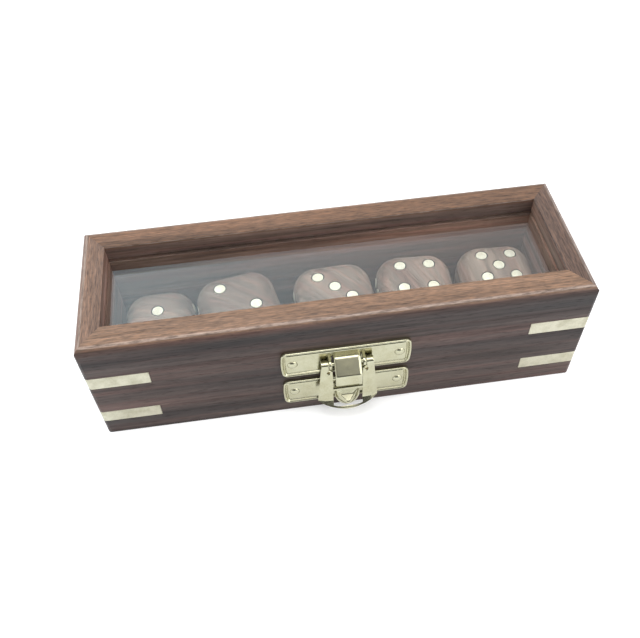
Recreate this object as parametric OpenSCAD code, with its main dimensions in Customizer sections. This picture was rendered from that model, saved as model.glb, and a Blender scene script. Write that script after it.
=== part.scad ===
// Glass-topped dice box: a mitred rosewood case with brass corner inlays, a glazed lid
// on two butt hinges, a brass hasp, and five rounded wooden dice with inlaid brass pips.
// The origin is the centre of the underside. +X is to the right, the front faces -Y.

/* [Case] */
// Length of the box, left to right
box_l = 152; // [148:1:240]
// Width of the box, front to back, without the brass fittings
box_w = 48.5; // [47:0.5:80]
// Height of the base, from the table to the seam
base_h = 18; // [17:0.5:24]
// Height of the lid, from the seam to the top
lid_h = 24.5; // [23:0.5:34]
// Thickness of the front and back boards
board_t = 8.4; // [7.8:0.1:9]
// Thickness of the two end boards
end_t = 7.3; // [6:0.1:8.4]
// Radius of the round-over on the top outer edges
round_r = 3; // [1:0.1:4]
// Radius of the upright corners
corner_r = 1.2; // [0.4:0.1:1.4]
// Thickness of the floor panel
floor_t = 4; // [3:0.1:4.6]
// Depth of the rebate that holds the floor panel
rebate_d = 3.5; // [2:0.1:4.5]
// Gap between the floor panel's edge and its rebate
floor_gap = 0.1; // [0.05:0.05:0.3]

/* [Glass] */
// Thickness of the pane
glass_t = 2; // [1.5:0.1:3]
// Depth of the pane's top below the top of the lid
glass_drop = 5.5; // [4:0.1:6]
// Depth of the groove that holds the pane
groove_d = 2.4; // [1.5:0.1:3.5]
// Gap round the pane in its groove
glass_gap = 0.15; // [0.1:0.05:0.3]

/* [Corner inlays] */
// Height of a brass strip
inlay_h = 5.2; // [3:0.1:6.5]
// Length of a strip along the front or back
inlay_l = 18.6; // [8:0.1:26]
// Length of a strip along the end
inlay_end_l = 18.6; // [8:0.1:21]
// Thickness of a strip
inlay_t = 1.5; // [1.4:0.1:2]
// Distance from the seam to the middle of a strip
inlay_off = 8.8; // [7:0.1:9.5]
// Gap round a strip in its pocket
inlay_gap = 0.05; // [0.03:0.01:0.1]

/* [Hinges] */
// Distance from the middle of the box to each hinge
hinge_x = 46; // [20:0.5:56]
// Length of a hinge
hinge_l = 18; // [14:0.5:24]
// Width of a leaf in the wood
leaf_w = 6.2; // [5:0.1:6.8]
// Thickness of a leaf
leaf_t = 0.9; // [0.7:0.05:1.2]
// Outer radius of the knuckles
knuckle_r = 1.5; // [1.3:0.05:2]
// Length of the middle knuckle
mid_knuckle_l = 6; // [3:0.1:8]
// Gap between neighbouring knuckles
knuckle_gap = 0.2; // [0.1:0.05:0.4]
// Gap between the knuckles and the back of the box
hinge_off = 0.3; // [0.3:0.05:0.8]
// Radius of a hinge pin
hinge_pin_r = 0.6; // [0.4:0.05:0.8]
// Distance between the two nails of a leaf
leaf_nail_pitch = 11; // [8:0.1:12]
// Radius of a leaf nail's shank
leaf_nail_r = 0.55; // [0.4:0.05:0.7]
// Radius of a leaf nail's countersunk head
leaf_nail_head_r = 1.15; // [0.9:0.05:1.4]
// Length of a leaf nail
leaf_nail_l = 7; // [4:0.5:9]

/* [Latch plates] */
// Place of the latch's middle along the front
latch_x = 0.8; // [-20:0.1:20]
// Length of both plates
plate_l = 39.8; // [34:0.1:60]
// Height of both plates
plate_h = 11.4; // [11:0.1:13]
// Thickness of their sheet
plate_t = 0.8; // [0.6:0.05:1]
// Width of the pressed rim
rim_w = 1; // [0.6:0.05:1.4]
// Height of the pressed rim above the sheet
rim_h = 0.4; // [0.2:0.05:0.6]
// Distance from the seam to each plate
plate_off = 1.4; // [0.8:0.1:1.8]
// Bulge of the plates' ends
end_bulge = 0.5; // [0.2:0.1:1]
// Distance from a plate's end to its nail
plate_nail_in = 3.6; // [3:0.1:5]
// Radius of a plate nail's head
plate_nail_head_r = 1.6; // [1.2:0.05:1.8]
// Height of a plate nail's domed head
plate_nail_dome = 0.7; // [0.4:0.05:1]
// Radius of a plate nail's shank
plate_nail_r = 0.6; // [0.4:0.05:0.8]
// Length of a plate nail's shank
plate_nail_l = 6.5; // [4:0.5:7]

/* [Hasp and its strap] */
// Width of the strap that springs from the upper plate
strap_w = 8.1; // [7:0.1:10]
// Reach of the strap from the front of the box
strap_out = 6.7; // [6.3:0.1:7.5]
// Length of the strap's level shelf
strap_shelf = 1.4; // [1:0.1:2]
// Height of the strap's sloping part
strap_slope_h = 4; // [3.6:0.1:4.6]
// Height of the strap's upright lip
strap_lip_h = 4; // [2:0.1:4.2]
// Gap between the strap and the hasp's window
window_gap = 0.55; // [0.4:0.05:0.8]
// Width of the hasp at its top
hasp_top_w = 15.8; // [15.2:0.1:18]
// Width of the hasp at its lip
hasp_low_w = 18.7; // [18:0.1:21]
// Thickness of the hasp's sheet
hasp_t = 0.8; // [0.6:0.05:1]
// How far the hasp's blade leans outwards from its pin to its bend
blade_lean = 0.7; // [0:0.1:1]
// Height of the lip's bend above the foot of the catch
lip_up = 2.3; // [1.6:0.1:2.6]
// Length of the flared thumb lip
lip_l = 3.5; // [2.6:0.1:3.8]
// Slope of the thumb lip from the upright
lip_tilt = 34; // [25:1:45]
// Width of the bar below the window
bar_w = 0.9; // [0.8:0.1:1.5]
// Width of the crossbar between the strap's window and the catch's
cross_w = 0.9; // [0.7:0.1:1.2]
// Gap that the crossbar keeps from the strap when the hasp swings past it
cross_gap = 3.8; // [2:0.1:4.2]
// Radius of the hasp's pin
hasp_pin_r = 0.6; // [0.4:0.05:0.7]
// Outer radius of the eyes round the pin
eye_r = 1.3; // [1.2:0.05:1.4]
// Thickness of each ear that carries the pin
ear_t = 0.9; // [0.6:0.05:1.2]
// Distance from the strap's root down to the pin
pin_down = 2.3; // [2.1:0.1:3.2]
// Distance from the upper plate's top edge down to the strap's root
strap_root = 3.3; // [2:0.1:3.6]
// Height of the catch's foot above the lower plate's edge
catch_up = 1.1; // [1.1:0.1:2]
// Gap between the hasp's bar and the catch's rim behind it
catch_gap = 0.5; // [0.4:0.1:1]
// How far the catch's point stands out past its rim
catch_point = 1.4; // [1:0.1:1.8]

/* [Dice] */
// Size of the first die, which shows one
die_1_size = 22.4; // [20:0.1:25.6]
// Size of the second die, which shows two
die_2_size = 25.6; // [20:0.1:25.8]
// Size of the third die, which shows three
die_3_size = 25.6; // [20:0.1:25.8]
// Size of the fourth die, which shows four
die_4_size = 24.8; // [20:0.1:25.6]
// Size of the fifth die, which shows five
die_5_size = 24.2; // [20:0.1:25.6]
// Radius of the dice's edges
die_edge_r = 7.6; // [4:0.1:8.5]
// Roundness of their corners: 0 keeps the corners, 1 makes them a ball's
corner_round = 0.85; // [0.5:0.05:1]
// Distance of the outer pips from the middle of a face
pip_pitch = 4.7; // [4:0.1:5.6]
// Radius of a pip
pip_r = 1.8; // [1.2:0.05:1.9]
// Depth of a pip's hole
pip_d = 1.6; // [1:0.1:2.5]
// Gap round a pip in its hole
pip_gap = 0.04; // [0.03:0.01:0.08]

/* [Hidden] */
$fn = 48;
EPS = 0.01;
OVER = 1;
RUN = 0.05;
TIGHT = 0.03;

box_h = base_h + lid_h;
inner_l = box_l - 2 * end_t;
inner_w = box_w - 2 * board_t;
glass_z = box_h - glass_drop - glass_t;

hinge_y = box_w / 2 + hinge_off + knuckle_r;
leaf_nail_y = box_w / 2 - leaf_w / 2;
sink_h = leaf_nail_head_r - leaf_nail_r;

lid_plate_z = base_h + plate_off;
base_plate_z = base_h - plate_off - plate_h;
plate_inner_r = 0.6;
plate_r = rim_w + plate_inner_r;
strap_z = lid_plate_z + plate_h - strap_root;
strap_low_z = strap_z - strap_slope_h - strap_lip_h;
window_w = strap_w + 2 * window_gap;

eye_gap = 0.3;
side_gap = 0.2;
slot_edge = 0.1;
slot_w = strap_w + 2 * slot_edge;
pin_out = plate_t + eye_gap + eye_r;
pin_z = strap_z - pin_down;
ear_r = eye_r + 0.2;
ear_in = window_w / 2 + slot_edge;
eye_in = ear_in + ear_t + side_gap;
ear_clear = 0.6;
blade_out = pin_out + eye_r - hasp_t;
dimple_r = 0.8;
dimple_d = 0.35;
dimple_down = 2.9;
dimple_in = 1.2;
strap_swing_r = norm([strap_out - pin_out, pin_z - strap_low_z]);
cross_z = pin_z - strap_swing_r - cross_gap - cross_w;

catch_w = strap_w - slot_edge;
catch_top = cross_z - 0.3;
catch_low = base_plate_z + catch_up;
lip_z = catch_low + lip_up;
bend_out = blade_out + hasp_t / 2 + blade_lean;
bar_in = bend_out + (lip_l - bar_w) * sin(lip_tilt) - hasp_t / 2 / cos(lip_tilt);
catch_rim = bar_in - catch_gap;
catch_top_out = plate_t + rim_h + 0.3;
catch_out = catch_rim + catch_point;
catch_skin = 0.2;
catch_tip_r = 0.3;
catch_tip_up = 2;

dice_set = [die_1_size, die_2_size, die_3_size, die_4_size, die_5_size];
// Free length kept along the row; a case too short for the set as named takes smaller dice
dice_free_l = 9;
dice_fit = min(1, (inner_l - dice_free_l) / total(dice_set, 4));
die_sizes = dice_fit * dice_set;
die_gaps = [2.4, 1.6, 5.0, 1.4, 2.8, 1.6];
die_turns = [0, 10, 2, -3, -3];
die_y = [0.7, 0.1, -0.7, 0.5, 1.3];
// Top, front and right-hand faces of each die; opposite faces add up to seven
die_faces = [[1, 2, 3], [2, 3, 1], [3, 1, 2], [4, 2, 1], [5, 3, 6]];
die_room = inner_l - total(die_sizes, 4);

wood = "#7b5a4c";
wood_end = "#6b4c40";
brass = "#cfc9a4";
glass_tint = [0.75, 0.85, 0.88, 0.35];

function total(v, last) = last < 0 ? 0 : v[last] + total(v, last - 1);

function die_x(i) = -inner_l / 2 + total(die_sizes, i - 1) + die_sizes[i] / 2
    + die_room * total(die_gaps, i) / total(die_gaps, 5);

// General shapes

// Rectangle with round corners
module rounded_rect(l, w, r) {
    square([l - 2 * r, w], center = true);
    square([l, w - 2 * r], center = true);
    for (sx = [-1, 1], sy = [-1, 1])
        translate([sx * (l / 2 - r), sy * (w / 2 - r)])
            circle(r);
}

// Carries a shape drawn face on, x right and y up, to the front of the box
module on_front() {
    translate([latch_x, -box_w / 2, 0])
        rotate([90, 0, 0])
            children();
}

// Extrudes a profile drawn as reach and height along the front, about the latch's middle
module along_front(w) {
    translate([latch_x, -box_w / 2, 0])
        rotate([0, 0, -90])
            rotate([90, 0, 0])
                linear_extrude(w, center = true)
                    children();
}

// Places a board's own frame, outer face on y = 0, at one side of the case
module on_side(side) {
    if (side == "front")
        translate([0, -box_w / 2, 0]) children();
    if (side == "back")
        translate([0, box_w / 2, 0]) rotate([0, 0, 180]) children();
    if (side == "left")
        translate([-box_l / 2, 0, 0]) rotate([0, 0, -90]) children();
    if (side == "right")
        translate([box_l / 2, 0, 0]) rotate([0, 0, 90]) children();
}

// The case's boards

function is_long(side) = side == "front" || side == "back";
function board_len(side) = is_long(side) ? box_l : box_w;
function own_t(side) = is_long(side) ? board_t : end_t;
function next_t(side) = is_long(side) ? end_t : board_t;

// Plan of a board with a mitre at each end
module mitred_plan(side) {
    half = board_len(side) / 2;
    polygon([
        [-half, 0],
        [half, 0],
        [half - next_t(side), own_t(side)],
        [-half + next_t(side), own_t(side)]
    ]);
}

// One mitred board, with the case's round upright corners
module board(side, z, h) {
    translate([0, 0, z])
        intersection() {
            linear_extrude(h)
                rounded_rect(box_l, box_w, corner_r);
            on_side(side)
                linear_extrude(h)
                    mitred_plan(side);
        }
}

// The floor panel's outline, grown by its gap to cut the rebate
module floor_form(grow) {
    translate([0, 0, floor_t / 2])
        cube([
            inner_l + 2 * (rebate_d - floor_gap + grow),
            inner_w + 2 * (rebate_d - floor_gap + grow),
            floor_t
        ], center = true);
}

// The pane's outline, grown by its gap to cut the groove
module glass_form(grow) {
    translate([0, 0, glass_z - grow])
        linear_extrude(glass_t + 2 * grow)
            square([
                inner_l + 2 * (groove_d - glass_gap + grow),
                inner_w + 2 * (groove_d - glass_gap + grow)
            ], center = true);
}

// What the round-over takes off a board's top outer edge
module round_over(side) {
    on_side(side)
        translate([0, 0, box_h])
            rotate([90, 0, 90])
                linear_extrude(board_len(side) + 2 * OVER, center = true)
                    difference() {
                        translate([-OVER, -round_r])
                            square([round_r + OVER, round_r + OVER]);
                        translate([round_r, -round_r])
                            circle(round_r);
                    }
}

// An L of brass strip at one corner; grow and over turn it into the pocket's cutter
module corner_strip(sx, sy, z, grow, over) {
    t = inlay_t + grow;
    translate([0, 0, z - inlay_h / 2 - grow])
        linear_extrude(inlay_h + 2 * grow)
            difference() {
                intersection() {
                    rounded_rect(box_l + 2 * over, box_w + 2 * over, corner_r + over);
                    translate([sx * box_l / 2, sy * box_w / 2])
                        square([2 * (inlay_l + grow), 2 * (inlay_end_l + grow)], center = true);
                }
                square([box_l - 2 * t, box_w - 2 * t], center = true);
            }
}

module corner_strips(z, grow, over) {
    for (sx = [-1, 1], sy = [-1, 1])
        corner_strip(sx, sy, z, grow, over);
}

module base_board(side) {
    difference() {
        board(side, 0, base_h);
        translate([0, 0, -EPS])
            floor_form(floor_gap);
        floor_form(floor_gap);
        corner_strips(base_h - inlay_off, inlay_gap, OVER);
    }
}

module lid_board(side) {
    difference() {
        board(side, base_h, lid_h);
        glass_form(glass_gap);
        round_over(side);
        corner_strips(base_h + inlay_off, inlay_gap, OVER);
    }
}

module base_front() {
    color(wood)
        difference() {
            base_board("front");
            plate_nail_holes(base_plate_z);
        }
}

module base_back() {
    color(wood)
        difference() {
            base_board("back");
            for (side = [-1, 1])
                hinge_mortise(side, -1);
        }
}

module base_left() {
    color(wood_end) base_board("left");
}

module base_right() {
    color(wood_end) base_board("right");
}

module base_floor() {
    color(wood_end) floor_form(0);
}

module base_inlays() {
    color(brass) corner_strips(base_h - inlay_off, 0, 0);
}

module lid_front() {
    color(wood)
        difference() {
            lid_board("front");
            plate_nail_holes(lid_plate_z);
        }
}

module lid_back() {
    color(wood)
        difference() {
            lid_board("back");
            for (side = [-1, 1])
                hinge_mortise(side, 1);
        }
}

module lid_left() {
    color(wood_end) lid_board("left");
}

module lid_right() {
    color(wood_end) lid_board("right");
}

module lid_inlays() {
    color(brass) corner_strips(base_h + inlay_off, 0, 0);
}

module glass_pane() {
    color(glass_tint) glass_form(0);
}

// Butt hinges; up is -1 for the base's leaf and 1 for the lid's

// Carries a hinge's own frame, z up or down from the seam, to its place
module at_hinge(side, up) {
    translate([side * hinge_x, 0, base_h])
        mirror([0, 0, up < 0 ? 1 : 0])
            children();
}

module leaf_nail_places() {
    for (sx = [-1, 1])
        translate([sx * leaf_nail_pitch / 2, leaf_nail_y, 0])
            children();
}

// Shank and countersunk head, with its flat top on the seam
module leaf_nail(grow) {
    cylinder(h = leaf_nail_l + grow, r = leaf_nail_r + grow);
    cylinder(h = sink_h, r1 = leaf_nail_head_r + grow, r2 = leaf_nail_r + grow);
}

module hinge_mortise(side, up) {
    at_hinge(side, up) {
        translate([-hinge_l / 2 - TIGHT, box_w / 2 - leaf_w - TIGHT, -OVER])
            cube([hinge_l + 2 * TIGHT, leaf_w + TIGHT + OVER, leaf_t + OVER]);
        leaf_nail_places() leaf_nail(RUN);
    }
}

// A cylinder along X about the hinge line, from a to b
module hinge_rod(r, a, b) {
    translate([a, hinge_y, 0])
        rotate([0, 90, 0])
            cylinder(h = b - a, r = r);
}

module outer_knuckles(r) {
    start = mid_knuckle_l / 2 + knuckle_gap;
    hinge_rod(r, start, hinge_l / 2);
    hinge_rod(r, -hinge_l / 2, -start);
}

module mid_knuckle(r) {
    hinge_rod(r, -mid_knuckle_l / 2, mid_knuckle_l / 2);
}

// The flat of a leaf in its mortise, and its tongue out to the hinge line
module leaf_flat() {
    translate([-hinge_l / 2, box_w / 2 - leaf_w, 0])
        cube([hinge_l, leaf_w, leaf_t]);
}

module leaf_tongue(a, b) {
    translate([a, box_w / 2 - EPS, 0])
        cube([b - a, hinge_off + knuckle_r + EPS, leaf_t]);
}

module hinge_leaf(side, up) {
    at_hinge(side, up)
        difference() {
            union() {
                leaf_flat();
                if (up < 0) {
                    outer_knuckles(knuckle_r);
                    leaf_tongue(mid_knuckle_l / 2 + knuckle_gap, hinge_l / 2);
                    leaf_tongue(-hinge_l / 2, -mid_knuckle_l / 2 - knuckle_gap);
                } else {
                    mid_knuckle(knuckle_r);
                    leaf_tongue(-mid_knuckle_l / 2, mid_knuckle_l / 2);
                }
            }
            hinge_rod(hinge_pin_r + RUN, -hinge_l, hinge_l);
            leaf_nail_places()
                translate([0, 0, -EPS])
                    leaf_nail(RUN);
        }
}

module hinge_pin(side) {
    color(brass)
        at_hinge(side, 1)
            hinge_rod(hinge_pin_r, -hinge_l / 2, hinge_l / 2);
}

module hinge_nails(up) {
    color(brass)
        for (side = [-1, 1])
            at_hinge(side, up)
                leaf_nail_places()
                    leaf_nail(0);
}

module left_hinge_base_leaf() {
    color(brass) hinge_leaf(-1, -1);
}

module left_hinge_lid_leaf() {
    color(brass) hinge_leaf(-1, 1);
}

module right_hinge_base_leaf() {
    color(brass) hinge_leaf(1, -1);
}

module right_hinge_lid_leaf() {
    color(brass) hinge_leaf(1, 1);
}

module left_hinge_pin() {
    hinge_pin(-1);
}

module right_hinge_pin() {
    hinge_pin(1);
}

module base_hinge_nails() {
    hinge_nails(-1);
}

module lid_hinge_nails() {
    hinge_nails(1);
}

// Latch plates, drawn face on with their lower edge at height z

module plate_nail_places(z) {
    on_front()
        for (sx = [-1, 1])
            translate([sx * (plate_l / 2 - plate_nail_in), z + plate_h / 2, 0])
                children();
}

module plate_nail_holes(z) {
    plate_nail_places(z)
        translate([0, 0, -plate_nail_l - RUN])
            cylinder(h = plate_nail_l + plate_t + rim_h + OVER, r = plate_nail_r + RUN);
}

// Round-cornered plate whose two ends bow out a little
module plate_outline(inset) {
    l = plate_l - 2 * inset;
    h = plate_h - 2 * inset;
    bow_r = (pow(plate_h / 2, 2) + pow(end_bulge, 2)) / (2 * end_bulge);
    intersection() {
        rounded_rect(l, h, plate_r - inset);
        translate([l / 2 - bow_r, 0]) circle(bow_r, $fn = 96);
        translate([bow_r - l / 2, 0]) circle(bow_r, $fn = 96);
    }
}

module rimmed_plate(z) {
    on_front()
        translate([0, z + plate_h / 2, 0]) {
            linear_extrude(plate_t)
                plate_outline(0);
            linear_extrude(plate_t + rim_h)
                difference() {
                    plate_outline(0);
                    plate_outline(rim_w);
                }
        }
}

// Dome cut from a ball, flat side on z = 0
module dome(r, h) {
    ball_r = (r * r + h * h) / (2 * h);
    intersection() {
        translate([0, 0, h - ball_r]) sphere(ball_r, $fn = 64);
        cylinder(h = h, r = r + EPS);
    }
}

module plate_nails(z) {
    color(brass)
        plate_nail_places(z) {
            translate([0, 0, plate_t])
                dome(plate_nail_head_r, plate_nail_dome);
            translate([0, 0, -plate_nail_l])
                cylinder(h = plate_nail_l + plate_t + EPS, r = plate_nail_r);
        }
}

// Length of the way from a to b, and its direction
function step_len(a, b) = norm(b - a);
function step_turn(a, b) = atan2(b[1] - a[1], b[0] - a[0]);

// Side view of a bent strip of sheet: straight runs with round bends
module bent_strip(points, t) {
    last = len(points) - 1;
    for (i = [0 : last - 1])
        translate(points[i])
            rotate(step_turn(points[i], points[i + 1]))
                translate([0, -t / 2])
                    square([step_len(points[i], points[i + 1]), t]);
    for (i = [1 : last - 1])
        translate(points[i])
            circle(t / 2);
}

// The springy strap that covers the hasp's pin
module strap() {
    reach = strap_out - plate_t / 2;
    along_front(strap_w)
        bent_strip([
            [plate_t / 2, strap_z],
            [plate_t + strap_shelf, strap_z],
            [reach, strap_z - strap_slope_h],
            [reach, strap_low_z]
        ], plate_t);
}

// The opening that the strap was cut from
module strap_slot() {
    on_front()
        translate([-slot_w / 2, lid_plate_z + rim_w, -OVER])
            cube([slot_w, strap_z - plate_t / 2 - lid_plate_z - rim_w, plate_t + 2 * OVER]);
}

// A rod along X about the hasp's pin, in the latch's own frame
module latch_rod(r, a, b) {
    translate([latch_x + a, -box_w / 2 - pin_out, pin_z])
        rotate([0, 90, 0])
            cylinder(h = b - a, r = r);
}

module ears() {
    for (side = [-1, 1])
        translate([side * (ear_in + ear_t / 2), 0, 0]) {
            latch_rod(ear_r, -ear_t / 2, ear_t / 2);
            translate([latch_x - ear_t / 2, -box_w / 2 - pin_out, pin_z - ear_r])
                cube([ear_t, pin_out - plate_t / 2, 2 * ear_r]);
        }
}

module lid_plate() {
    color(brass)
        difference() {
            union() {
                difference() {
                    rimmed_plate(lid_plate_z);
                    strap_slot();
                }
                strap();
                ears();
            }
            latch_rod(hasp_pin_r + RUN, -hasp_top_w, hasp_top_w);
            plate_nail_holes(lid_plate_z);
        }
}

// The wedge-shaped catch pressed out of the lower plate, with a pointed ridge
module catch_outline() {
    r = catch_w / 2;
    translate([-r, catch_low + r])
        square([catch_w, catch_top - catch_low - r]);
    intersection() {
        translate([0, catch_low + r]) circle(r, $fn = 32);
        translate([-r, catch_low]) square([catch_w, r]);
    }
}

module catch_wedge() {
    tilt = atan((catch_rim - catch_skin - catch_top_out) / (catch_top - catch_low));
    on_front()
        hull() {
            linear_extrude(plate_t)
                catch_outline();
            translate([0, catch_top, catch_top_out])
                rotate([-tilt, 0, 0])
                    translate([0, -catch_top, 0])
                        linear_extrude(catch_skin)
                            catch_outline();
            translate([0, catch_low + catch_tip_up, catch_out - catch_tip_r])
                sphere(catch_tip_r, $fn = 16);
        }
}

module base_plate() {
    color(brass)
        difference() {
            union() {
                rimmed_plate(base_plate_z);
                catch_wedge();
            }
            plate_nail_holes(base_plate_z);
        }
}

module lid_plate_nails() {
    plate_nails(lid_plate_z);
}

module base_plate_nails() {
    plate_nails(base_plate_z);
}

module hasp_pin() {
    color(brass) latch_rod(hasp_pin_r, -hasp_top_w / 2, hasp_top_w / 2);
}

// Side view of the hasp: an eye rolled round the pin, the leaning blade and the flared lip
module hasp_profile() {
    mid_out = blade_out + hasp_t / 2;
    bent_strip([
        [mid_out, pin_z],
        [bend_out, lip_z],
        [bend_out + lip_l * sin(lip_tilt), lip_z - lip_l * cos(lip_tilt)]
    ], hasp_t);
    translate([pin_out, pin_z])
        circle(eye_r);
}

// Face-on outline of the hasp: two arms that spread downwards, over an arc-shaped lip
module hasp_outline() {
    lip_drop = lip_l * cos(lip_tilt);
    arc_r = (pow(hasp_low_w / 2, 2) + pow(lip_drop, 2)) / (2 * lip_drop);
    intersection() {
        polygon([
            [-hasp_top_w / 2, pin_z + eye_r + OVER],
            [hasp_top_w / 2, pin_z + eye_r + OVER],
            [hasp_top_w / 2, pin_z],
            [hasp_low_w / 2, lip_z],
            [hasp_low_w / 2, lip_z - lip_l],
            [-hasp_low_w / 2, lip_z - lip_l],
            [-hasp_low_w / 2, lip_z],
            [-hasp_top_w / 2, pin_z]
        ]);
        translate([0, lip_z - lip_drop + arc_r]) circle(arc_r, $fn = 96);
    }
}

// The catch's window, the strap's window above it, and the room for the ears on top
module hasp_window() {
    low_z = lip_z - (lip_l - bar_w) * cos(lip_tilt);
    notch_z = pin_z - ear_r - ear_clear;
    translate([-window_w / 2, low_z])
        square([window_w, cross_z - low_z]);
    translate([-window_w / 2, cross_z + cross_w])
        square([window_w, notch_z - cross_z - cross_w + OVER]);
    translate([-eye_in, notch_z])
        square([2 * eye_in, ear_r + ear_clear + eye_r + 2 * OVER]);
}

module hasp_dimples() {
    leaned = blade_lean * dimple_down / (pin_z - lip_z);
    on_front()
        for (side = [-1, 1])
            translate([side * (window_w / 2 + dimple_in),
                       pin_z - dimple_down,
                       blade_out + hasp_t + leaned + dimple_r - dimple_d])
                sphere(dimple_r, $fn = 32);
}

module hasp() {
    color(brass)
        difference() {
            intersection() {
                along_front(hasp_low_w + 2 * OVER)
                    hasp_profile();
                on_front()
                    linear_extrude(2 * blade_out + blade_lean + lip_l)
                        difference() {
                            hasp_outline();
                            hasp_window();
                        }
            }
            latch_rod(hasp_pin_r + RUN, -hasp_top_w, hasp_top_w);
            hasp_dimples();
        }
}

// Dice

// Cube with round edges and rounder corners
module die_form(size) {
    corner = size / 2 - die_edge_r;
    sharp = sqrt(3) * (corner + die_edge_r * sqrt(0.5));
    ball = sqrt(3) * corner + die_edge_r;
    intersection() {
        linear_extrude(size, center = true)
            rounded_rect(size, size, die_edge_r);
        rotate([90, 0, 0])
            linear_extrude(size, center = true)
                rounded_rect(size, size, die_edge_r);
        rotate([0, 90, 0])
            linear_extrude(size, center = true)
                rounded_rect(size, size, die_edge_r);
        sphere(sharp + (ball - sharp) * corner_round, $fn = 96);
    }
}

// Where the pips of one face lie, in units of the pip pitch
function pip_places(value) = concat(
    value % 2 == 1 ? [[0, 0]] : [],
    value > 1 ? [[-1, 1], [1, -1]] : [],
    value > 3 ? [[1, 1], [-1, -1]] : [],
    value > 5 ? [[-1, 0], [1, 0]] : []
);

// Cylinders that reach pip_d below the face on top
module face_pips(size, value, r, depth) {
    for (place = pip_places(value))
        translate([place[0] * pip_pitch, place[1] * pip_pitch, size / 2 - depth])
            cylinder(h = depth + OVER, r = r);
}

// The pips of all six faces: top, front and right, and seven less each behind them
module all_pips(size, faces, r, depth) {
    face_pips(size, faces[0], r, depth);
    rotate([180, 0, 0]) face_pips(size, 7 - faces[0], r, depth);
    rotate([90, 0, 0]) face_pips(size, faces[1], r, depth);
    rotate([-90, 0, 0]) face_pips(size, 7 - faces[1], r, depth);
    rotate([0, 90, 0]) face_pips(size, faces[2], r, depth);
    rotate([0, -90, 0]) face_pips(size, 7 - faces[2], r, depth);
}

module at_die(i) {
    translate([die_x(i), die_y[i], floor_t + die_sizes[i] / 2])
        rotate([0, 0, die_turns[i]])
            children();
}

module die_wood(i) {
    color(wood)
        at_die(i)
            difference() {
                die_form(die_sizes[i]);
                all_pips(die_sizes[i], die_faces[i], pip_r + pip_gap, pip_d);
            }
}

module die_pips(i) {
    color(brass)
        at_die(i)
            intersection() {
                die_form(die_sizes[i]);
                all_pips(die_sizes[i], die_faces[i], pip_r, pip_d);
            }
}

module die_1() {
    die_wood(0);
}

module die_1_pips() {
    die_pips(0);
}

module die_2() {
    die_wood(1);
}

module die_2_pips() {
    die_pips(1);
}

module die_3() {
    die_wood(2);
}

module die_3_pips() {
    die_pips(2);
}

module die_4() {
    die_wood(3);
}

module die_4_pips() {
    die_pips(3);
}

module die_5() {
    die_wood(4);
}

module die_5_pips() {
    die_pips(4);
}

base_front();
base_back();
base_left();
base_right();
base_floor();
base_inlays();
lid_front();
lid_back();
lid_left();
lid_right();
glass_pane();
lid_inlays();
left_hinge_base_leaf();
left_hinge_lid_leaf();
left_hinge_pin();
right_hinge_base_leaf();
right_hinge_lid_leaf();
right_hinge_pin();
base_hinge_nails();
lid_hinge_nails();
lid_plate();
lid_plate_nails();
base_plate();
base_plate_nails();
hasp();
hasp_pin();
die_1();
die_1_pips();
die_2();
die_2_pips();
die_3();
die_3_pips();
die_4();
die_4_pips();
die_5();
die_5_pips();
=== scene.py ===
import math

import bmesh
import bpy
from mathutils import Matrix, Vector


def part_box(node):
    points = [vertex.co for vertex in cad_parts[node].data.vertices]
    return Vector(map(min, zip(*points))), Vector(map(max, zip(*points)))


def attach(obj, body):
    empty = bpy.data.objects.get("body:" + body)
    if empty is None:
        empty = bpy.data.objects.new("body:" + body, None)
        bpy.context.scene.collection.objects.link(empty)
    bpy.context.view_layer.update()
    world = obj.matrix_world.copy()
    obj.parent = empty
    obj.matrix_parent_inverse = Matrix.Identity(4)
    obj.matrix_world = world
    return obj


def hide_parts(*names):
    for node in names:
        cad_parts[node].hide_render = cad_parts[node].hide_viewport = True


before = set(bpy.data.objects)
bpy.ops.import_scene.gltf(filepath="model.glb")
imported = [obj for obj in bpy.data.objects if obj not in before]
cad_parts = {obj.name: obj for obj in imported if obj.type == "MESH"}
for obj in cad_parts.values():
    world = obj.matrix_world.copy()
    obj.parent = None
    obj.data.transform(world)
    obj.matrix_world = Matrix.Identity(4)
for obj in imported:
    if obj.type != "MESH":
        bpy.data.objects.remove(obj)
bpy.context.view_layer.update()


# Base boards
# Four rosewood boards with the grain along their length, mitred and glued at the corners.
# The box was glued up whole and then sawn apart at the seam, so the grain runs on from the
# base into the lid. The arrises were eased with a block and the wood was oiled.

MM = 0.001
WELD = 0.002
FLAT_ANGLE = math.radians(0.5)
ARRIS_ANGLE = math.radians(40)
LEAST_ARRIS = 20
ARRIS_EASE = 0.3
SHARP_DEGREES = 40
CROWN_FROM = 41.2
CROWN_TO = 42.5
# Painted highlight over a little wear, along the crest of the lid's round-over.
WORN_HIGHLIGHT_WOOD = (0.44, 0.37, 0.33, 1)
OIL_SHEEN = 0.22


def node_box(name):
    """A node's lowest and highest corners, in millimetres."""
    low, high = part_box(name)
    return low / MM, high / MM


def sawn_board(node):
    """The board as it was cut, with its triangles joined into flat faces."""
    bm = bmesh.new()
    bm.from_mesh(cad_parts[node].data)
    bmesh.ops.remove_doubles(bm, verts=bm.verts, dist=WELD * MM)
    bmesh.ops.dissolve_limit(bm, angle_limit=FLAT_ANGLE, verts=bm.verts, edges=bm.edges)
    return bm


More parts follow.
